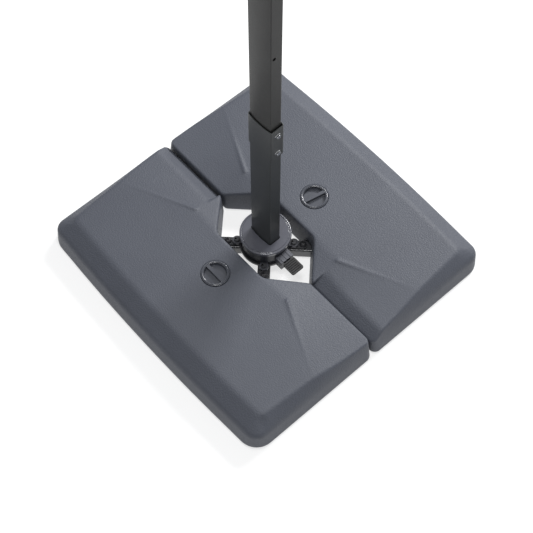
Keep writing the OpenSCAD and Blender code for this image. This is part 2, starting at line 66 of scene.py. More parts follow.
# %% Camera
camera_data = bpy.data.cameras.new("camera")
camera_data.sensor_width = 36
camera_data.lens = 83.75
camera_data.clip_start = 0.1
camera_data.clip_end = 50
camera = bpy.data.objects.new("camera", camera_data)
camera.location = (1.437, -1.276, 3.490)
camera.rotation_mode = "QUATERNION"
aim = Vector((-0.3517, 0.3133, -0.8821))
camera.rotation_quaternion = aim.to_track_quat("-Z", "Y")
bpy.context.scene.collection.objects.link(camera)
bpy.context.scene.camera = camera
print("camera at", tuple(camera.location), "lens", camera_data.lens)

# %% [markdown]
# ## Floor, sky and lamps
# A studio floor is a large pale sheet that glows a little, like a light table, which keeps
# it pale in the gaps of the part. One broad lamp behind the far weight rakes over the
# mouldings, so creases and rolled edges catch it. A smaller lamp overhead lifts the flat
# tops, and a pale sky fills the shadows. The Standard view transform keeps the floor pale.

# %% Floor
def plain_mesh(name, points, faces):
    mesh = bpy.data.meshes.new(name)
    mesh.from_pydata([tuple(p) for p in points], [], [tuple(f) for f in faces])
    mesh.update()
    return mesh


def add_object(name, mesh):
    piece = bpy.data.objects.new(name, mesh)
    bpy.context.scene.collection.objects.link(piece)
    return piece


FLOOR_HALF = 40.0
corners = [(x * FLOOR_HALF, y * FLOOR_HALF, 0) for x, y in ((-1, -1), (1, -1), (1, 1), (-1, 1))]
floor = add_object("studio_floor", plain_mesh("studio_floor", corners, [(0, 1, 2, 3)]))
floor_paint = bpy.data.materials.new("pale floor")
floor_paint.use_nodes = True
floor_shader = floor_paint.node_tree.nodes["Principled BSDF"]
for socket, value in (("Base Color", (0.42, 0.42, 0.42, 1)), ("Roughness", 0.9), ("Specular IOR Level", 0.1),
                      ("Emission Color", (1, 1, 1, 1)), ("Emission Strength", 0.66)):
    floor_shader.inputs[socket].default_value = value
floor.data.materials.append(floor_paint)

# %% Lamps and sky
world = bpy.data.worlds.new("studio sky")
world.use_nodes = True
world.node_tree.nodes["Background"].inputs["Color"].default_value = (0.96, 0.98, 1.0, 1)
world.node_tree.nodes["Background"].inputs["Strength"].default_value = 0.33
bpy.context.scene.world = world
bpy.context.scene.view_settings.view_transform = "Standard"


def lamp(name, place, target, size, power):
    data = bpy.data.lights.new(name, "AREA")
    data.shape = "RECTANGLE"
    data.size, data.size_y = size
    data.energy = power
    piece = bpy.data.objects.new(name, data)
    piece.location = place
    piece.rotation_euler = (Vector(target) - Vector(place)).to_track_quat("-Z", "Y").to_euler()
    bpy.context.scene.collection.objects.link(piece)
    print(name, power, "W")


lamp("back softbox", (-1.0, 4.6, 3.9), (0.1, 0.2, 0), (2.6, 1.2), 350)
lamp("overhead softbox", (0.2, -0.1, 4.4), (0, 0, 0), (1.1, 1.1), 75)

# %% [markdown]
# ## Finishes
# Every real surface varies a little. Each finish below mixes two close tones with a wide
# noise, lets its gloss wander, and raises a fine grain with a bump. The weights' plastic
# has a coarser pebble as well, as a textured mould leaves it. All patterns read
# Object coordinates, so they stay on the piece when it moves. Values that are the same all
# over are set on the shader itself. The middle of a noise, from 0.3 to 0.7, holds nearly
# all of it, so that span is stretched to the full range of tones and of gloss.

# %% A finish builder
NOISE_LOW, NOISE_HIGH = 0.3, 0.7


def node(tree, kind, **settings):
    made = tree.nodes.new(kind)
    for key, value in settings.items():
        setattr(made, key, value)
    return made


def noise(tree, where, scale, detail):
    made = node(tree, "ShaderNodeTexNoise")
    made.inputs["Scale"].default_value = scale
    made.inputs["Detail"].default_value = detail
    made.inputs["Roughness"].default_value = 0.55
    tree.links.new(where, made.inputs["Vector"])
    return made.outputs["Fac"]


def tone_ramp(tree, factor, dark, light):
    ramp = node(tree, "ShaderNodeValToRGB")
    for point, at, colour in zip(ramp.color_ramp.elements, (NOISE_LOW, NOISE_HIGH), (dark, light)):
        point.position = at
        point.color = (*colour, 1)
    tree.links.new(factor, ramp.inputs["Fac"])
    return ramp.outputs["Color"]


def value_range(tree, factor, low, high):
    made = node(tree, "ShaderNodeMapRange")
    made.inputs["From Min"].default_value = NOISE_LOW
    made.inputs["From Max"].default_value = NOISE_HIGH
    made.inputs["To Min"].default_value = low
    made.inputs["To Max"].default_value = high
    tree.links.new(factor, made.inputs["Value"])
    return made.outputs["Result"]


def raised(tree, height, depth, on_top_of=None):
    bump = node(tree, "ShaderNodeBump")
    bump.inputs["Strength"].default_value = 1.0
    bump.inputs["Distance"].default_value = depth
    tree.links.new(height, bump.inputs["Height"])
    if on_top_of:
        tree.links.new(on_top_of, bump.inputs["Normal"])
    return bump.outputs["Normal"]


def finish(name, dark, light, gloss, grain, tone_scale=14.0, stretch=(1, 1, 1), pebble=None,
           **shader_values):
    """gloss = (lowest, highest) roughness; grain and pebble = (scale per metre, depth in metres)"""
    material = bpy.data.materials.new(name)
    material.use_nodes = True
    tree = material.node_tree
    shader = tree.nodes["Principled BSDF"]
    for socket, value in shader_values.items():
        shader.inputs[socket.replace("_", " ")].default_value = value
    place = node(tree, "ShaderNodeTexCoord").outputs["Object"]
    stretched = node(tree, "ShaderNodeMapping")
    stretched.inputs["Scale"].default_value = stretch
    tree.links.new(place, stretched.inputs["Vector"])
    spread = noise(tree, place, tone_scale, 4)
    fine = noise(tree, stretched.outputs["Vector"], grain[0], 2)
    tree.links.new(tone_ramp(tree, spread, dark, light), shader.inputs["Base Color"])
    tree.links.new(value_range(tree, fine, *gloss), shader.inputs["Roughness"])
    normal = raised(tree, fine, grain[1])
    if pebble:
        normal = raised(tree, noise(tree, place, pebble[0], 1), pebble[1], normal)
    tree.links.new(normal, shader.inputs["Normal"])
    return material


# %% The finishes
finishes = {
    "weight_plastic": finish("moulded weight plastic", (0.074, 0.080, 0.099), (0.084, 0.091, 0.111),
                             (0.42, 0.58), (620, 0.00030), 5.0, pebble=(230, 0.0011),
                             Specular_IOR_Level=0.33),
    "cap_plastic": finish("filler cap plastic", (0.060, 0.065, 0.080), (0.072, 0.077, 0.094),
                          (0.26, 0.38), (900, 0.00008), 30.0, Coat_Weight=0.6, Coat_Roughness=0.12),
    "water": finish("ballast water", (0.16, 0.27, 0.33), (0.22, 0.34, 0.40),
                    (0.05, 0.12), (60, 0.0004)),
    "rubber": finish("black rubber", (0.012, 0.012, 0.013), (0.022, 0.022, 0.023),
                     (0.55, 0.75), (1500, 0.0001), 40.0),
    "arm_steel": finish("textured dark steel paint", (0.022, 0.023, 0.027), (0.032, 0.033, 0.038),
                        (0.30, 0.42), (2200, 0.00006), 25.0, Coat_Weight=0.4, Coat_Roughness=0.12),
    "housing_paint": finish("cast housing paint", (0.035, 0.037, 0.047), (0.047, 0.049, 0.060),
                            (0.34, 0.50), (1400, 0.00012), 30.0),
    "turret_paint": finish("cast turret paint", (0.082, 0.084, 0.104), (0.102, 0.105, 0.126),
                           (0.24, 0.36), (1400, 0.00008), 30.0, Coat_Weight=0.8, Coat_Roughness=0.10),
    "bracket_paint": finish("pedal bracket paint", (0.085, 0.088, 0.104), (0.105, 0.108, 0.125),
                            (0.32, 0.46), (1600, 0.00008), 30.0),
    "black_plastic": finish("black moulded plastic", (0.016, 0.016, 0.019), (0.028, 0.028, 0.032),
                            (0.38, 0.52), (1200, 0.00008), 40.0),
    "bearing_plastic": finish("natural nylon", (0.62, 0.60, 0.52), (0.72, 0.70, 0.62),
                              (0.35, 0.50), (900, 0.00006), 40.0),
    "hub_iron": finish("machined casting", (0.085, 0.090, 0.095), (0.13, 0.135, 0.14),
                       (0.35, 0.55), (1300, 0.00015), 35.0, Metallic=0.8),
    "zinc_steel": finish("zinc plated steel", (0.50, 0.51, 0.52), (0.66, 0.66, 0.67),
                         (0.24, 0.42), (1800, 0.00004), 90.0, Metallic=1.0),
    "bright_steel": finish("bright plated steel", (0.74, 0.75, 0.76), (0.86, 0.86, 0.87),
                           (0.10, 0.22), (900, 0.00003), 90.0, Metallic=1.0),
    "brake_fibre": finish("brake fibre", (0.15, 0.09, 0.05), (0.24, 0.15, 0.08),
                          (0.70, 0.90), (1500, 0.0002), 300.0),
    "mast_steel": finish("dark mast paint", (0.030, 0.033, 0.034), (0.037, 0.040, 0.041),
                         (0.30, 0.40), (1800, 0.00004), 12.0, (1, 1, 0.12)),
    "upper_mast_steel": finish("upper mast paint", (0.034, 0.034, 0.034), (0.042, 0.042, 0.041),
                               (0.34, 0.46), (1800, 0.00004), 12.0, (1, 1, 0.12), Specular_IOR_Level=0.15),
}
print("finishes:", len(finishes))

# %% [markdown]
# ## Carried-over pieces
# Bearings, nuts, pins and other inner pieces are already the right shape, so each keeps its
# engineering mesh and only takes its finish.

# %% Give every carried-over node its finish
for name, piece in nodes.items():
    piece.data.materials.clear()
    piece.data.materials.append(finishes[slot_of[name]])
print("carried-over nodes with a finish:", len(nodes))

# %% [markdown]
# ## Tools for making pieces
# A finished piece sits at the origin with its place in its mesh. `settle` turns live
# modifiers into a plain mesh, and `stand_in` hangs the piece on the right moving body and
# hides the node that it stands for.

# %% Settle and stand in
def settle(piece):
    view = bpy.context.evaluated_depsgraph_get()
    view.update()
    mesh = bpy.data.meshes.new_from_object(piece.evaluated_get(view))
    mesh.name = piece.name
    piece.modifiers.clear()
    piece.data = mesh
    return piece


def shade(piece, angle=35):
    piece.data.shade_smooth()
    piece.data.set_sharp_from_angle(angle=math.radians(angle))
    return piece


def stand_in(piece, name):
    if not piece.data.materials:
        piece.data.materials.append(finishes[slot_of[name]])
    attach(piece, home[name])
    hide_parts(name)
    print(piece.name, "stands for", name, "with", len(piece.data.polygons), "faces")
    return piece


# %% [markdown]
# Castings, pressings and mouldings have no truly sharp edge: each edge is rolled by half a
# millimetre or so and shows as a thin line of light. `softened` copies a node's mesh,
# merges its loose triangles into flat faces, and rolls every sharp edge with a Bevel.

# %% Roll the edges of a node
def flat_faced_copy(name, source):
    work = bmesh.new()
    work.from_mesh(source.data)
    bmesh.ops.remove_doubles(work, verts=work.verts, dist=2e-6)
    bmesh.ops.dissolve_degenerate(work, dist=1e-6, edges=work.edges)
    bmesh.ops.dissolve_limit(work, angle_limit=math.radians(0.4), verts=work.verts, edges=work.edges)
    mesh = bpy.data.meshes.new(name)
    work.to_mesh(mesh)
    work.free()
    return add_object(name, mesh)


def roll_edges(piece, width, steps=3, angle=32):
    bevel = piece.modifiers.new("rolled edges", "BEVEL")
    bevel.width = width
    bevel.segments = steps
    bevel.limit_method = "ANGLE"
    bevel.angle_limit = math.radians(angle)
    bevel.miter_outer = "MITER_ARC"
    even = piece.modifiers.new("flat faces stay flat", "WEIGHTED_NORMAL")
    even.keep_sharp = True
    piece.data.shade_smooth()
    return settle(piece)


def softened(node_name, piece_name, width, steps=3):
    piece = flat_faced_copy(piece_name, nodes[node_name])
    return stand_in(roll_edges(piece, width, steps), node_name)


# %% [markdown]
# ## The two weights
# Each weight is a blown plastic tank: a block with a sloping outer edge, two long creases
# where the top falls to the split, a notch round the turret and channels for the arms
# underneath. A low rounded ridge runs along each crease and fades towards the corner.
# Cutting sharp blocks with Booleans would leave knife edges. Instead one rule gives the
# distance from any point to the skin, with every edge melted by a smooth maximum, and a net
# of small squares is drawn over the places where the rule is zero.

# %% Sizes of a weight, in metres
rear_low, rear_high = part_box("rear_weight")
cap_low, cap_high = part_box("rear_cap")
HALF_LENGTH = rear_high.x
HALF_WIDTH = rear_high.y
SPLIT = rear_low.y
TOP = rear_high.z
WALL_TOP = 0.072
WALL_LEAN = 0.013
SIDE_BOW = 0.013
EDGE_SLOPE = 0.074
END_LEAN_AT_SPLIT = 0.025
END_LEAN_AT_CORNER = 0.055
FOOT_CORNER, SHOULDER_CORNER, PLATEAU_CORNER, SPLIT_CORNER = 0.066, 0.039, 0.018, 0.025
NOTCH_LOW = 0.1012
NOTCH_LEAN = 0.007
CREASE_BEND = (0.2164, 0.1042)
CREASE_SLOPE_AT_TURRET = 0.034
CREASE_SLOPE = 0.48
CREASE_END = 0.530
TIP_DROP = 0.023
END_DROP = 0.018
RIDGE_HEIGHT = 0.0040
RIDGE_WIDTH = 0.0075
RECESS_WIDTH = 0.055
RECESS_EDGE = 0.062
RECESS_START = CREASE_BEND[0] + 0.002
ARM_CHANNEL = (0.023, 0.048, 0.488)
CAP_CENTRE = (cap_low.y + cap_high.y) / 2
CAP_RADIUS = (cap_high.x - cap_low.x) / 2
print("weight half length", round(HALF_LENGTH, 3), "top", round(TOP, 3), "cap at y", round(CAP_CENTRE, 3))


# %% How far each edge melts, in metres
BOW_MELT = 0.25  # a share of the full bow, not a length
WALL_MELT = 0.011
TOP_MELT = 0.006
CREASE_MELT = 0.0028
RECESS_MELT = 0.005
SPLIT_MELT = 0.006
NOTCH_CORNER_MELT = 0.012
NOTCH_MELT = 0.007
CHANNEL_MELT = 0.003
FOOT_MELT = 0.014


# %% The rule for the skin
def smooth_max(a, b, melt):
    near = np.maximum(melt - np.abs(a - b), 0) / melt
    return np.maximum(a, b) + near * near * melt / 4


def smooth_min(a, b, melt):
    return -smooth_max(-a, -b, melt)


def round_corner(a, b, radius):
    outside = np.sqrt(np.maximum(a + radius, 0) ** 2 + np.maximum(b + radius, 0) ** 2)
    return np.minimum(np.maximum(a, b), -radius) + outside


def outline_at_level(x, y, at_split, at_corner, width, radius):
    """Distances outside the end wall, and outside the end and long side together."""
    across, lean = width - SIDE_BOW - SPLIT, at_split - at_corner
    size = math.hypot(across, lean)
    end = ((np.abs(x) - at_split) * across + (y - SPLIT) * lean) / size
    along = smooth_min((x / (at_corner - radius)) ** 2, 1.0, BOW_MELT)
    side = y - (width - SIDE_BOW * along)
    return end, round_corner(end, side, radius)


def between_levels(low, high, at, rise):
    run = high - low
    return (low + run * at) * rise / np.sqrt(rise**2 + run**2)


def sunk_top(x, y, z):
    """Height above the plateau or above the sunk surface between a crease and the split."""
    far = np.abs(x)
    bend_x, bend_y = CREASE_BEND
    slope = np.where(far < bend_x, CREASE_SLOPE_AT_TURRET, CREASE_SLOPE)
    crease = bend_y + np.abs(far - bend_x) * slope
    fade = np.clip((far - bend_x) / (CREASE_END - bend_x), 0, 1)
    drop = TIP_DROP + (END_DROP - TIP_DROP) * fade
    surface = TOP - drop * (1 - y / crease)
    tilt = drop / crease
    start = np.clip((far - bend_x) / RIDGE_WIDTH + 1, 0, 1)
    ridge = RIDGE_HEIGHT * start * (1 - fade) ** 2 * np.exp(-(((y - crease) / RIDGE_WIDTH) ** 2))
    return smooth_max(z - TOP, (z - surface) / np.sqrt(1 + tilt**2), CREASE_MELT) - ridge


def walls_and_top(x, y, z):
    """The skin without its cuts, and how far a point is outside the end wall."""
    foot, shoulder = HALF_LENGTH, HALF_LENGTH - WALL_LEAN
    end_0, level_0 = outline_at_level(x, y, foot, foot, HALF_WIDTH, FOOT_CORNER)
    end_1, level_1 = outline_at_level(x, y, shoulder, shoulder, HALF_WIDTH - WALL_LEAN, SHOULDER_CORNER)
    end_2, level_2 = outline_at_level(x, y, HALF_LENGTH - END_LEAN_AT_SPLIT,
                                      HALF_LENGTH - END_LEAN_AT_CORNER,
                                      HALF_WIDTH - EDGE_SLOPE, PLATEAU_CORNER)
    upper = (z - WALL_TOP) / (TOP - WALL_TOP)
    wall = between_levels(level_0, level_1, z / WALL_TOP, WALL_TOP)
    edge = between_levels(level_1, level_2, upper, TOP - WALL_TOP)
    end = np.maximum(end_0 + (end_1 - end_0) * z / WALL_TOP, end_1 + (end_2 - end_1) * upper)
    return smooth_max(smooth_max(wall, edge, WALL_MELT), sunk_top(x, y, z), TOP_MELT), end


def grip_recess(x, y, z):
    """Height above the recess for lifting, which is on one side of the split only."""
    climb = (TOP - TIP_DROP + TIP_DROP * RECESS_WIDTH / CREASE_BEND[1] - RECESS_EDGE) / RECESS_WIDTH
    floor = (z - RECESS_EDGE - climb * y) / math.sqrt(1 + climb**2)
    return smooth_min(x - RECESS_START, floor, RECESS_MELT)


def turret_notch(x, y, z):
    reach = NOTCH_LOW + NOTCH_LEAN * z / TOP
    return smooth_max(y - reach, (np.abs(x) + y - 2 * reach) / math.sqrt(2), NOTCH_CORNER_MELT)


def arm_channels(x, y, z):
    half, height, length = ARM_CHANNEL
    ahead = (np.abs(x) + y) / math.sqrt(2)
    aside = np.abs(np.abs(x) - y) / math.sqrt(2)
    return np.maximum(np.maximum(aside - half, z - height), ahead - length)


def weight_skin(x, y, z):
    skin, end = walls_and_top(x, y, z)
    skin = smooth_max(skin, grip_recess(x, y, z), RECESS_MELT)
    skin = np.maximum(smooth_max(skin, SPLIT - y, SPLIT_MELT), round_corner(end, SPLIT - y, SPLIT_CORNER))
    skin = smooth_max(skin, -turret_notch(x, y, z), NOTCH_MELT)
    skin = smooth_max(skin, -arm_channels(x, y, z), CHANNEL_MELT)
    return smooth_max(skin, -z, FOOT_MELT)


# %% [markdown]
# The net: space is cut into small cubes, each cube that the skin passes through gets one
# vertex, and each cube edge that crosses the skin gets one square face. The vertices are
# then pushed along the slope of the rule until they lie on the skin.

# %% Draw a net over a rule
def net_over(rule, low, high, step):
    axes = [np.arange(a, b + step, step) for a, b in zip(low, high)]
    value = rule(*np.meshgrid(*axes, indexing="ij"))
    cells = tuple(n - 1 for n in value.shape)
    total, count = np.zeros((*cells, 3)), np.zeros(cells)
    for axis in range(3):
        for side in ((0, 0), (0, 1), (1, 0), (1, 1)):
            start = list(side)
            start.insert(axis, 0)
            first = tuple(slice(s, s + n) for s, n in zip(start, cells))
            start[axis] = 1
            second = tuple(slice(s, s + n) for s, n in zip(start, cells))
            a, b = value[first], value[second]
            crossed = (a < 0) != (b < 0)
            share = np.where(crossed, a / np.where(crossed, a - b, 1), 0)
            start[axis] = 0
            for k in range(3):
                total[..., k] += np.where(crossed, share if k == axis else start[k], 0)
            count += crossed
    used = count > 0
    number = np.full(cells, -1)
    number[used] = np.arange(used.sum())
    points = np.argwhere(used) + total[used] / count[used][:, None]
    points = points * step + np.array([a[0] for a in axes])
    faces = []
    for axis in range(3):
        u, v = (axis + 1) % 3, (axis + 2) % 3
        inside = value < 0
        here = np.take(inside, range(0, cells[axis]), axis)
        there = np.take(inside, range(1, cells[axis] + 1), axis)
        for outward in (True, False):
            spots = np.argwhere((here & ~there) if outward else (~here & there))
            around = []
            for du, dv in ((-1, -1), (0, -1), (0, 0), (-1, 0)):
                spot = spots.copy()
                spot[:, u] += du
                spot[:, v] += dv
                around.append(number[tuple(spot.T)])
            quad = np.stack(around, 1)
            faces.append(quad if outward else quad[:, ::-1])
    return points, np.concatenate(faces)


def push_onto(rule, points, rounds=4, probe=0.0002, longest=0.003):
    for _ in range(rounds):
        slope = np.empty_like(points)
        for axis, ahead in enumerate(probe * np.eye(3)):
            slope[:, axis] = (rule(*(points + ahead).T) - rule(*(points - ahead).T)) / (2 * probe)
        steepness = np.maximum((slope**2).sum(1), 0.1)
        move = slope * (rule(*points.T) / steepness)[:, None]
        points = points - np.clip(move, -longest, longest)
    return points


def fast_mesh(name, points, faces):
    mesh = bpy.data.meshes.new(name)
    mesh.vertices.add(len(points))
    mesh.vertices.foreach_set("co", points.astype(np.float32).ravel())
    mesh.loops.add(faces.size)
    mesh.loops.foreach_set("vertex_index", faces.astype(np.int32).ravel())
    mesh.polygons.add(len(faces))
    mesh.polygons.foreach_set("loop_start", np.arange(0, faces.size, 4, dtype=np.int32))
    mesh.update(calc_edges=True)
    mesh.validate()
    return mesh


NET_STEP, NET_MARGIN = 0.0041, 0.009
net_low = (-HALF_LENGTH - NET_MARGIN, -0.006, -NET_MARGIN)
net_high = (HALF_LENGTH + NET_MARGIN, HALF_WIDTH + NET_MARGIN, TOP + NET_MARGIN)
points, faces = net_over(weight_skin, net_low, net_high, NET_STEP)
points = push_onto(weight_skin, points)
print("weight net:", len(points), "points,", len(faces), "faces")


# %% [markdown]
# The filler opening is round and crisp, so it is cut afterwards: a lathe-turned plug in
# the shape of the neck is taken away with a Boolean. The seat lies a hair below the cap's
# seal, because faces that lie in one plane would count as a touch. The front weight is the
# rear one turned half round.

# %% Turn a profile on a lathe
def turned(name, profile, sides=128, centre=(0, 0)):
    """profile: (radius, height) pairs from the bottom axis point to the top axis point"""
    points, rings = [], []
    for radius, height in profile:
        if radius == 0:
            rings.append([len(points)])
            points.append((centre[0], centre[1], height))
            continue
        rings.append(list(range(len(points), len(points) + sides)))
        for k in range(sides):
            turn = 2 * math.pi * k / sides
            points.append((centre[0] + radius * math.cos(turn), centre[1] + radius * math.sin(turn), height))
    faces = []
    for low, high in zip(rings, rings[1:]):
        for k in range(sides):
            n = (k + 1) % sides
            quad = [low[k % len(low)], low[n % len(low)], high[n % len(high)], high[k % len(high)]]
            faces.append(list(dict.fromkeys(quad)))
    return plain_mesh(name, points, faces)


def arc(centre, reach, rise, degrees):
    """Profile points round a centre; reach and rise are its half width and half height."""
    turns = [math.radians(angle) for angle in degrees]
    return [(centre[0] + reach * math.cos(turn), centre[1] + rise * math.sin(turn)) for turn in turns]


def cut(piece, cutters):
    for cutter in cutters:
        boolean = piece.modifiers.new("cut", "BOOLEAN")
        boolean.operation = "DIFFERENCE"
        boolean.solver = "EXACT"
        boolean.object = cutter
    settle(piece)
    for cutter in cutters:
        bpy.data.objects.remove(cutter)
    return piece


# %% Cut the filler opening and set both weights down
NECK_RADIUS = 0.036
NECK_CHAMFER, LIP_CHAMFER = 0.001, 0.0012
SEAL_GAP, CAP_PLAY, PAST_SURFACE = 0.00015, 0.001, 0.02
WEIGHT_SMOOTH_ANGLE = 50
CAP_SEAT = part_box("rear_cap_seal")[0].z - SEAL_GAP
BALLAST_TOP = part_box("rear_ballast")[1].z
neck_foot, seat_radius = BALLAST_TOP - 0.0005, CAP_RADIUS + CAP_PLAY
neck_profile = [(0, neck_foot), (NECK_RADIUS, neck_foot), (NECK_RADIUS, CAP_SEAT - NECK_CHAMFER),
                (NECK_RADIUS + NECK_CHAMFER, CAP_SEAT), (seat_radius, CAP_SEAT),
                (seat_radius, TOP - LIP_CHAMFER), (seat_radius + LIP_CHAMFER, TOP),
                (seat_radius + 0.003, TOP + PAST_SURFACE), (0, TOP + PAST_SURFACE)]


def half_turned_copy(name, piece):
    mesh = piece.data.copy()
    mesh.transform(Matrix.Rotation(math.pi, 4, "Z"))
    return add_object(name, mesh)


rear = add_object("rear_tank", fast_mesh("rear_tank", points, faces))
cut(rear, [add_object("neck_plug", turned("neck_plug", neck_profile, 96, (0, CAP_CENTRE)))])
for piece, name in ((rear, "rear_weight"), (half_turned_copy("front_tank", rear), "front_weight")):
    stand_in(shade(piece, WEIGHT_SMOOTH_ANGLE), name)


# %% The filling follows the same rule, one shell thickness further in
SHELL = 0.0042
SURFACE_MELT = 0.002
FILLING_STEP = 0.0103


def filling_skin(x, y, z):
    return smooth_max(weight_skin(x, y, z) + SHELL, z - BALLAST_TOP, SURFACE_MELT)


net_high = (HALF_LENGTH, HALF_WIDTH, BALLAST_TOP + 0.02)
points, faces = net_over(filling_skin, (-HALF_LENGTH, 0, -0.003), net_high, FILLING_STEP)
rear = add_object("rear_filling", fast_mesh("rear_filling", push_onto(filling_skin, points), faces))
for piece, name in ((rear, "rear_ballast"), (half_turned_copy("front_filling", rear), "front_ballast")):
    stand_in(shade(piece, WEIGHT_SMOOTH_ANGLE), name)

# %% [markdown]
# ## Filler caps
# Each cap is a screwed plug with a raised rim and two D-shaped wells that leave a grip bar.
# The plug, its screw ridges, the flange and the raised bead are one lathe profile. Each
# well is a half disc with large rolled edges, pressed into the top by a Boolean.

# %% Half-disc wells
BEAD_RADIUS, BEAD_ROUND = 0.0400, 0.0026
WELL_RADIUS, WELL_DEPTH, WELL_ROUND = 0.0362, 0.0125, 0.0045
GRIP_BAR = 0.0105


def block(name, outline, low, high):
    """A straight block over a closed outline given anticlockwise."""
    count = len(outline)
    sides = [(k, (k + 1) % count, count + (k + 1) % count, count + k) for k in range(count)]
    points = [(u, v, z) for z in (low, high) for u, v in outline]
    return plain_mesh(name, points, [list(range(count))[::-1], list(range(count, 2 * count)), *sides])


def half_disc(name, radius, bar, low, high, steps=40):
    start = math.asin(bar / 2 / radius)
    turns = [start + (math.pi - 2 * start) * k / steps for k in range(steps + 1)]
    outline = [(radius * math.cos(turn), radius * math.sin(turn)) for turn in turns]
    return roll_edges(add_object(name, block(name, outline, low, high)), WELL_ROUND, 6)


# %% Caps
CAP_FLANGE = 0.0055
THREADS, THREAD_STEP = 4, 0.0038
SCREW_ROOT, SCREW_CREST = NECK_RADIUS - 0.0018, NECK_RADIUS - 0.0003


def screw_cap(name, node_name, bar_angle):
    low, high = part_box(node_name)
    rim, top, flange = (high.x - low.x) / 2, high.z, high.z - CAP_FLANGE
    profile = [(0, low.z), (NECK_RADIUS - 0.003, low.z), (SCREW_ROOT, low.z + 0.0012)]
    for turn in range(THREADS):
        foot = low.z + 0.0025 + THREAD_STEP * turn
        profile += [(SCREW_ROOT, foot), (SCREW_CREST, foot + 0.0012),
                    (SCREW_CREST, foot + 0.0017), (SCREW_ROOT, foot + 0.0029)]
    profile += [(SCREW_ROOT, flange - 0.001), (NECK_RADIUS - 0.0010, flange), (rim - 0.0005, flange),
                (rim, flange + 0.0005), (rim, top - 0.0018), (rim - 0.0006, top - 0.0006),
                (rim - 0.0015, top - 0.0001), (rim - 0.0020, top)]
    profile += arc((BEAD_RADIUS, top - 0.0006), BEAD_ROUND, BEAD_ROUND, range(12, 169, 12))
    profile += [(BEAD_RADIUS - 0.0032, top - 0.0004), (0, top - 0.0004)]
    cap = add_object(name, turned(name, profile, 128))
    wells = [half_disc("well", WELL_RADIUS, GRIP_BAR, top - WELL_DEPTH, top + PAST_SURFACE) for _ in range(2)]
    wells[1].data.transform(Matrix.Rotation(math.pi, 4, "Z"))
    cut(cap, wells)
    roll_edges(cap, 0.0006, 3, 40)
    centre = Matrix.Translation(((low.x + high.x) / 2, (low.y + high.y) / 2, 0))
    cap.data.transform(centre @ Matrix.Rotation(math.radians(bar_angle), 4, "Z"))
    return stand_in(cap, node_name)


screw_cap("front_screw_cap", "front_cap", 0)
screw_cap("rear_screw_cap", "rear_cap", 78)

# %% [markdown]
# ## Cross foot
# The arms are square steel tubes with rolled corners. A rolled corner is part of how the
# tube is made, so it is drawn in the section, and the section is stretched along the arm.

# %% Tubes from a section
def rounded_section(half_u, half_v, radius, steps=6):
    outline = []
    for quarter in range(4):
        sign_u, sign_v = ((1, 1), (-1, 1), (-1, -1), (1, -1))[quarter]
        for k in range(steps + 1):
            turn = math.radians(90 * (quarter + k / steps))
            outline.append((sign_u * (half_u - radius) + radius * math.cos(turn),
                            sign_v * (half_v - radius) + radius * math.sin(turn)))
    return outline


def tube_mesh(name, outer, inner, start, end):
    """Straight tube along Z between two sections with the same number of points."""
    count = len(outer)
    points = [(u, v, w) for w in (start, end) for ring in (outer, inner) for u, v in ring]
    faces = []
    for k in range(count):
        n = (k + 1) % count
        faces += [(k, n, 2 * count + n, 2 * count + k),
                  (count + n, count + k, 3 * count + k, 3 * count + n),
                  (n, k, count + k, count + n),
                  (2 * count + k, 2 * count + n, 3 * count + n, 3 * count + k)]
    return plain_mesh(name, points, faces)


def rod(name, radius, start, end, along="Z", centre=(0, 0, 0), sides=48):
    mesh = turned(name, [(0, start), (radius, start), (radius, end), (0, end)], sides)
    if along == "X":
        mesh.transform(Matrix.Rotation(math.pi / 2, 4, "Y"))
    mesh.transform(Matrix.Translation(centre))
    return add_object(name, mesh)


# %% The arms
arm_low, arm_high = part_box("long_beam")
ARM_HALF = (arm_high.z - arm_low.z) / 2
ARM_MIDDLE = (arm_high.z + arm_low.z) / 2
ARM_REACH = arm_high.x * math.sqrt(2) - ARM_HALF
ARM_WALL, ARM_CORNER, ARM_INNER_CORNER = 0.0025, 0.0045, 0.002
BOLT_AT = 0.11905
BOLT_HOLE, KING_HOLE = 0.00525, 0.0103


def arm(name, node_name, angle, start, holes):
    outer = rounded_section(ARM_HALF, ARM_HALF, ARM_CORNER)
    inner = rounded_section(ARM_HALF - ARM_WALL, ARM_HALF - ARM_WALL, ARM_INNER_CORNER)
    mesh = tube_mesh(name, outer, inner, start, ARM_REACH)
    mesh.transform(Matrix.Rotation(math.pi / 2, 4, "Y"))
    piece = add_object(name, mesh)
    cut(piece, [rod("hole", r, 0, ARM_HALF + 0.01, "Z", (x, 0, 0)) for x, r in holes])
    piece.data.transform(Matrix.Rotation(math.radians(angle), 4, "Z"))
    piece.data.transform(Matrix.Translation((0, 0, ARM_MIDDLE)))
    return stand_in(roll_edges(piece, 0.0004, 2, 40), node_name)


arm("main_beam", "long_beam", 45, -ARM_REACH, [(-BOLT_AT, BOLT_HOLE), (BOLT_AT, BOLT_HOLE), (0, KING_HOLE)])
arm("front_arm", "front_right_arm", -45, ARM_HALF, [(BOLT_AT, BOLT_HOLE)])
arm("rear_arm", "rear_left_arm", 135, ARM_HALF, [(BOLT_AT, BOLT_HOLE)])

# %% [markdown]
# End plugs, rubber feet and the centre plate keep their engineering shape with rolled edges.

# %% Plugs, feet and plate
softened("arm_end_caps", "arm_plugs", 0.0008, 2)
softened("foot_pads", "rubber_feet", 0.0010, 2)
softened("centre_plate", "cross_plate", 0.0012)

# %% [markdown]
# ## Bolts in circles and rows
# The same bolt sits at four corners, and another in a short row on the mast. Geometry Nodes
# are made for this: one bolt goes in, and a tree with named sizes puts copies on a circle
# or a line. A third tree winds a wire into a coil for the pedal's springs. Each tree ends
# by making its copies real and giving them their finish.

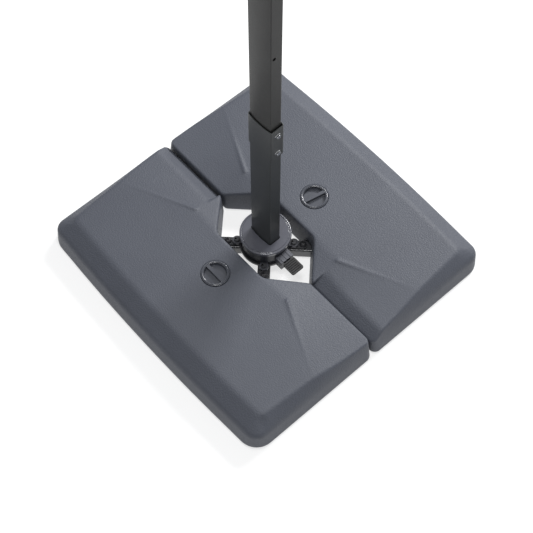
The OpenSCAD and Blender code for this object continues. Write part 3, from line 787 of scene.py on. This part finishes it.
# %% Trees that repeat a piece
def new_tree(name, inputs):
    tree = bpy.data.node_groups.new(name, "GeometryNodeTree")
    tree.interface.new_socket("Geometry", in_out="INPUT", socket_type="NodeSocketGeometry")
    for label, kind in inputs:
        tree.interface.new_socket(label, in_out="INPUT", socket_type="NodeSocket" + kind)
    tree.interface.new_socket("Geometry", in_out="OUTPUT", socket_type="NodeSocketGeometry")
    return tree, node(tree, "NodeGroupInput"), node(tree, "NodeGroupOutput")


def real_and_finished(tree, geometry, given, last):
    real = node(tree, "GeometryNodeRealizeInstances")
    paint = node(tree, "GeometryNodeSetMaterial")
    tree.links.new(geometry, real.inputs[0])
    tree.links.new(real.outputs[0], paint.inputs["Geometry"])
    tree.links.new(given.outputs["Finish"], paint.inputs["Material"])
    tree.links.new(paint.outputs[0], last.inputs[0])


def circle_tree():
    tree, given, last = new_tree("copies on a circle", [
        ("Count", "Int"), ("Radius", "Float"), ("First angle", "Float"), ("Finish", "Material")])
    circle = node(tree, "GeometryNodeMeshCircle")
    turn = node(tree, "ShaderNodeCombineXYZ")
    turned_circle = node(tree, "GeometryNodeTransform")
    copies = node(tree, "GeometryNodeInstanceOnPoints")
    tree.links.new(given.outputs["Count"], circle.inputs["Vertices"])
    tree.links.new(given.outputs["Radius"], circle.inputs["Radius"])
    tree.links.new(given.outputs["First angle"], turn.inputs["Z"])
    tree.links.new(circle.outputs[0], turned_circle.inputs["Geometry"])
    tree.links.new(turn.outputs[0], turned_circle.inputs["Rotation"])
    tree.links.new(turned_circle.outputs[0], copies.inputs["Points"])
    tree.links.new(given.outputs["Geometry"], copies.inputs["Instance"])
    real_and_finished(tree, copies.outputs[0], given, last)
    return tree


def row_tree():
    tree, given, last = new_tree("copies in a row", [
        ("Count", "Int"), ("Step", "Vector"), ("Finish", "Material")])
    line = node(tree, "GeometryNodeMeshLine")
    copies = node(tree, "GeometryNodeInstanceOnPoints")
    tree.links.new(given.outputs["Count"], line.inputs["Count"])
    tree.links.new(given.outputs["Step"], line.inputs["Offset"])
    tree.links.new(line.outputs[0], copies.inputs["Points"])
    tree.links.new(given.outputs["Geometry"], copies.inputs["Instance"])
    real_and_finished(tree, copies.outputs[0], given, last)
    return tree


def coil_tree():
    tree, given, last = new_tree("wound wire", [
        ("Turns", "Float"), ("Coil radius", "Float"), ("Height", "Float"), ("Wire radius", "Float"),
        ("Finish", "Material")])
    spiral = node(tree, "GeometryNodeCurveSpiral")
    spiral.inputs["Resolution"].default_value = 48
    wire = node(tree, "GeometryNodeCurvePrimitiveCircle")
    wire.inputs["Resolution"].default_value = 12
    sweep = node(tree, "GeometryNodeCurveToMesh")
    sweep.inputs["Fill Caps"].default_value = True
    tree.links.new(given.outputs["Turns"], spiral.inputs["Rotations"])
    tree.links.new(given.outputs["Coil radius"], spiral.inputs["Start Radius"])
    tree.links.new(given.outputs["Coil radius"], spiral.inputs["End Radius"])
    tree.links.new(given.outputs["Height"], spiral.inputs["Height"])
    tree.links.new(given.outputs["Wire radius"], wire.inputs["Radius"])
    tree.links.new(spiral.outputs[0], sweep.inputs["Curve"])
    tree.links.new(wire.outputs[0], sweep.inputs["Profile Curve"])
    real_and_finished(tree, sweep.outputs[0], given, last)
    return tree


trees = {"circle": circle_tree(), "row": row_tree(), "coil": coil_tree()}


def repeated(piece, kind, **sizes):
    """Runs one tree on a piece; sizes are the tree's input names, with _ for a space."""
    modifier = piece.modifiers.new(kind, "NODES")
    modifier.node_group = trees[kind]
    for item in trees[kind].interface.items_tree:
        if item.in_out == "INPUT" and item.name.replace(" ", "_") in sizes:
            modifier[item.identifier] = sizes[item.name.replace(" ", "_")]
    return settle(piece)


print("trees:", ", ".join(trees))


# %% [markdown]
# A bolt has a chamfered hexagon head on a round flange. The dome bolts on the arms have a
# smooth head and a hexagon socket for a key, like the bolts of any flat-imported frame.

# %% Heads and shanks
def joined(name, parts):
    work = bmesh.new()
    for part in parts:
        work.from_mesh(part)
    mesh = bpy.data.meshes.new(name)
    work.to_mesh(mesh)
    work.free()
    return mesh


def hex_head(name, radius, low, high, chamfer):
    wide, past, slope = radius * 1.3, 0.001, 0.58
    blank = turned("chamfer", [(0, low - past), (wide, low - past),
                               (wide, high - chamfer - (wide - radius) * slope),
                               (radius * 0.87, high - chamfer * 0.02),
                               (radius * 0.86, high + past), (0, high + past)], 64)
    hexagon = turned(name, [(0, low), (radius, low), (radius, high), (0, high)], 6)
    piece, cone = add_object(name, hexagon), add_object("chamfer", blank)
    boolean = piece.modifiers.new("chamfer", "BOOLEAN")
    boolean.operation = "INTERSECT"
    boolean.solver = "EXACT"
    boolean.object = cone
    mesh = settle(piece).data
    for spent in (cone, piece):
        bpy.data.objects.remove(spent)
    return mesh


def flanged_bolt(name, foot, seat, top, shank, flange, head, chamfer):
    """A shank from foot to seat, a round flange on the seat, and a hexagon head up to top."""
    flange_top = seat + 0.0012
    return joined(name, [
        turned("flange", [(0, seat), (flange, seat), (flange, seat + 0.0008),
                          (flange - 0.0004, flange_top), (0, flange_top)], 48),
        hex_head("head", head, flange_top, top, chamfer),
        turned("shank", [(0, foot), (shank, foot), (shank, seat), (0, seat)], 32)])


# %% Dome bolts on the arms
PLATE_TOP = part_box("centre_plate")[1].z
SHANK_RADIUS = 0.005
KEY_RADIUS, KEY_DEPTH = 0.0042, 0.004
DOME_STEPS = 10
dome_low, dome_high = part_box("arm_bolts")
DOME_RADIUS = dome_high.x - BOLT_AT / math.sqrt(2)
DOME_HEIGHT = dome_high.z - PLATE_TOP
ball = (DOME_RADIUS**2 + DOME_HEIGHT**2) / (2 * DOME_HEIGHT)
leans = [math.asin(DOME_RADIUS / ball) * (1 - k / DOME_STEPS) for k in range(1, DOME_STEPS)]
dome_profile = [(0, dome_low.z), (SHANK_RADIUS, dome_low.z), (SHANK_RADIUS, PLATE_TOP),
                (DOME_RADIUS, PLATE_TOP),
                *[(ball * math.sin(a), dome_high.z - ball * (1 - math.cos(a))) for a in leans],
                (0, dome_high.z)]
dome = add_object("arm_dome_bolts", turned("arm_dome_bolts", dome_profile, 48))
key_foot, key_top = dome_high.z - KEY_DEPTH, dome_high.z + 0.01
key_profile = [(0, key_foot), (KEY_RADIUS, key_foot), (KEY_RADIUS, key_top), (0, key_top)]
cut(dome, [add_object("key", turned("key", key_profile, 6))])
repeated(dome, "circle", Count=4, Radius=BOLT_AT, First_angle=math.pi / 4, Finish=finishes["black_plastic"])
stand_in(shade(dome, 40), "arm_bolts")

# %% Hexagon bolts in the housing lugs
LUG_AT = 0.09005
SCREW_HEAD = 0.006
screw_low, screw_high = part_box("housing_bolts")
screws = add_object("housing_hex_bolts", flanged_bolt(
    "housing_hex_bolts", screw_low.z, screw_high.z - SCREW_HEAD, screw_high.z,
    SHANK_RADIUS, flange=0.0094, head=0.0088, chamfer=0.0009))
repeated(screws, "circle", Count=4, Radius=LUG_AT, First_angle=math.pi / 4, Finish=finishes["arm_steel"])
stand_in(shade(screws, 30), "housing_bolts")

# %% [markdown]
# ## Turret and housing
# The turning cap is a turned casting with a rolled rim and a fine groove, and the mast
# drops through its slot. The rim and groove are one lathe profile, because turning is how
# the casting is finished. The fixed housing under it has four lugs and keeps its
# engineering shape, with edges rolled as castings are.

# %% Mast section
def mast_section(half_l, half_w, bow, radius, corner_steps=8, face_steps=20):
    a, b = half_l - radius, half_w - bow - radius
    corner = [(a + radius * math.cos(math.pi / 2 * k / corner_steps),
               b + radius * math.sin(math.pi / 2 * k / corner_steps)) for k in range(corner_steps + 1)]
    face = [(a * (1 - 2 * k / face_steps), b + radius + bow * (1 - (1 - 2 * k / face_steps) ** 2))
            for k in range(1, face_steps)]
    upper = corner + face + [(-u, v) for u, v in reversed(corner)]
    return upper + [(-u, -v) for u, v in upper]


# %% Turret
MAST_BOW, MAST_CORNER, SLOT_GAP = 0.003, 0.004, 0.002
RIM_ROUND, FOOT_CHAMFER = 0.0034, 0.0006
GROOVE_IN, GROOVE_OUT, GROOVE_DEPTH = 0.0092, 0.0052, 0.0020
cover_low, cover_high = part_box("turret_cap")
rim, top = cover_high.x, cover_high.z
round_rim = arc((rim - RIM_ROUND, top - RIM_ROUND), RIM_ROUND, RIM_ROUND, range(0, 91, 10))
groove = arc((rim - (GROOVE_IN + GROOVE_OUT) / 2, top), (GROOVE_IN - GROOVE_OUT) / 2, -GROOVE_DEPTH,
             range(0, 181, 15))
cover_profile = [(0, cover_low.z), (rim - FOOT_CHAMFER, cover_low.z), (rim, cover_low.z + FOOT_CHAMFER),
                 *round_rim, *groove, (0, top)]
cover = add_object("turret_cover", turned("turret_cover", cover_profile, 160))
mast_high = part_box("lower_mast")[1]
slot = mast_section(mast_high.x + SLOT_GAP, mast_high.y + SLOT_GAP, MAST_BOW, MAST_CORNER + SLOT_GAP)
cut(cover, [add_object("slot", block("slot", slot, cover_low.z - 0.01, top + 0.01))])
stand_in(roll_edges(cover, 0.0009, 3, 40), "turret_cap")

# %% Housing
softened("swivel_housing", "cast_housing", 0.0013)

# %% [markdown]
# ## Foot pedal
# A bracket on the centre plate carries a lever with a rubber pad, and a coil spring at each
# side of the lever brings it back. The pad is a moulded slab, hollow underneath where it
# grips the lever. Its tread is a row of cross ribs, so the row tree repeats one rib.

# %% Bracket, lever and springs
softened("pedal_bracket", "pedal_block", 0.0010)
softened("pedal_lever", "pedal_arm", 0.0008, 2)
softened("brake_shoe", "shoe_slider", 0.0006, 2)
pin_low, pin_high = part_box("pedal_pin")
PIVOT = ((pin_low.x + pin_high.x) / 2, (pin_low.z + pin_high.z) / 2)
spring_low, spring_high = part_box("pedal_springs")
WIRE = 0.00075
COIL_RADIUS = (spring_high.x - spring_low.x) / 2 - WIRE
SPRING_TURNS, SPRING_PITCH = 2.0, 0.0016
spring_start = spring_high.y - WIRE - SPRING_TURNS * SPRING_PITCH
halves = []
for side in (1, -1):
    seed = add_object("coil", plain_mesh("coil", [(0, 0, 0)], []))
    repeated(seed, "coil", Turns=SPRING_TURNS, Coil_radius=COIL_RADIUS, Height=SPRING_TURNS * SPRING_PITCH,
             Wire_radius=WIRE, Finish=finishes["zinc_steel"])
    seed.data.transform(Matrix.Translation((PIVOT[0], side * spring_start, PIVOT[1]))
                        @ Matrix.Rotation(-side * math.pi / 2, 4, "X"))
    halves.append(seed.data)
    bpy.data.objects.remove(seed)
springs = add_object("return_springs", joined("return_springs", halves))
springs.data.materials.append(finishes["zinc_steel"])
stand_in(shade(springs, 60), "pedal_springs")

# %% Rubber pad with its tread
pad_low, pad_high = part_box("pedal_pad")
plate_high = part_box("pedal_lever")[1].z
RIB_DEPTH, RIB_WIDTH, RIB_STEP = 0.0033, 0.0030, 0.0070
RIB_MARGIN, RIB_SHORT, RIB_SUNK = 0.004, 0.005, 0.001
PAD_CORNER, PAD_WALL = 0.006, 0.002
half_u, half_v = (pad_high.x - pad_low.x) / 2, (pad_high.y - pad_low.y) / 2
pad_middle = Matrix.Translation(((pad_low.x + pad_high.x) / 2, 0, 0))
tread_foot = pad_high.z - RIB_DEPTH

outline = rounded_section(half_u, half_v, PAD_CORNER)
slab = add_object("pad_slab", block("pad_slab", outline, pad_low.z, tread_foot))
slab.data.transform(pad_middle)
lever_plate = rounded_section(half_u - PAD_WALL, half_v - PAD_WALL, PAD_CORNER - PAD_WALL)
hollow = add_object("hollow", block("hollow", lever_plate, pad_low.z - 0.01, plate_high))
hollow.data.transform(pad_middle)
cut(slab, [hollow])
roll_edges(slab, 0.0009, 2)

half_rib = half_v - RIB_SHORT
rib_outline = [(0, -half_rib), (RIB_WIDTH, -half_rib), (RIB_WIDTH, half_rib), (0, half_rib)]
rib = add_object("rib", block("rib", rib_outline, tread_foot - RIB_SUNK, pad_high.z))
roll_edges(rib, 0.0007, 2)
rib.data.transform(Matrix.Translation((pad_low.x + RIB_MARGIN, 0, 0)))
rib_count = int((2 * half_u - 2 * RIB_MARGIN) / RIB_STEP) + 1
repeated(rib, "row", Count=rib_count, Step=(RIB_STEP, 0, 0), Finish=finishes["rubber"])
tread = add_object("pedal_rubber", joined("pedal_rubber", [slab.data, rib.data]))
for part in (slab, rib):
    bpy.data.objects.remove(part)
print("ribs on the pad:", rib_count)
stand_in(shade(tread, 40), "pedal_pad")

# %% [markdown]
# ## Mast
# Two drawn tubes slide in each other. Their long faces bulge a little, so the section is a
# rounded rectangle with curved long sides, drawn with enough points to look smooth. A
# sleeve of the same section clamps the joint with two bright bolts in a row.

# %% Mast tubes
MAST_WALL, LEAST_CORNER, UPPER_CORNER = 0.0015, 0.0008, 0.0025
SLEEVE_WALL, SLEEVE_CORNER = 0.003, 0.0062
HOLE_AT, HOLE_RADIUS, HOLE_REACH = (0, -0.008, 1.040), 0.0055, 0.06


def mast_part(name, node_name, bow, radius, wall):
    low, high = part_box(node_name)
    shift = ((low.x + high.x) / 2, (low.y + high.y) / 2, 0)
    half_l, half_w = (high.x - low.x) / 2, (high.y - low.y) / 2
    outer = mast_section(half_l, half_w, bow, radius)
    inner = mast_section(half_l - wall, half_w - wall, bow, max(radius - wall, LEAST_CORNER))
    piece = add_object(name, tube_mesh(name, outer, inner, low.z, high.z))
    piece.data.transform(Matrix.Translation(shift))
    return piece


upper_tube = mast_part("upper_mast_tube", "upper_mast", MAST_BOW, UPPER_CORNER, MAST_WALL)
cut(upper_tube, [rod("cross hole", HOLE_RADIUS, -HOLE_REACH, HOLE_REACH, "X", HOLE_AT)])
stand_in(roll_edges(upper_tube, 0.0004, 2, 40), "upper_mast")
lower_tube = mast_part("lower_mast_tube", "lower_mast", MAST_BOW, MAST_CORNER, MAST_WALL)
stand_in(roll_edges(lower_tube, 0.0004, 2, 40), "lower_mast")
sleeve = mast_part("clamp_sleeve", "mast_sleeve", MAST_BOW, SLEEVE_CORNER, SLEEVE_WALL)
stand_in(roll_edges(sleeve, 0.0007, 3, 40), "mast_sleeve")

# %% Clamp bolts
clamp_low, clamp_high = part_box("clamp_bolts")
sleeve_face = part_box("mast_sleeve")[1].x
HEAD_RADIUS = 0.0075
first_z, last_z = clamp_low.z + HEAD_RADIUS, clamp_high.z - HEAD_RADIUS
clamp = flanged_bolt("clamp_hex_bolts", clamp_low.x, sleeve_face, clamp_high.x,
                     shank=0.004, flange=0.0088, head=HEAD_RADIUS, chamfer=0.0008)
clamp.transform(Matrix.Translation((0, 0, first_z)) @ Matrix.Rotation(math.pi / 2, 4, "Y"))
clamps = add_object("clamp_hex_bolts", clamp)
repeated(clamps, "row", Count=2, Step=(0, 0, last_z - first_z), Finish=finishes["bright_steel"])
stand_in(shade(clamps, 30), "clamp_bolts")
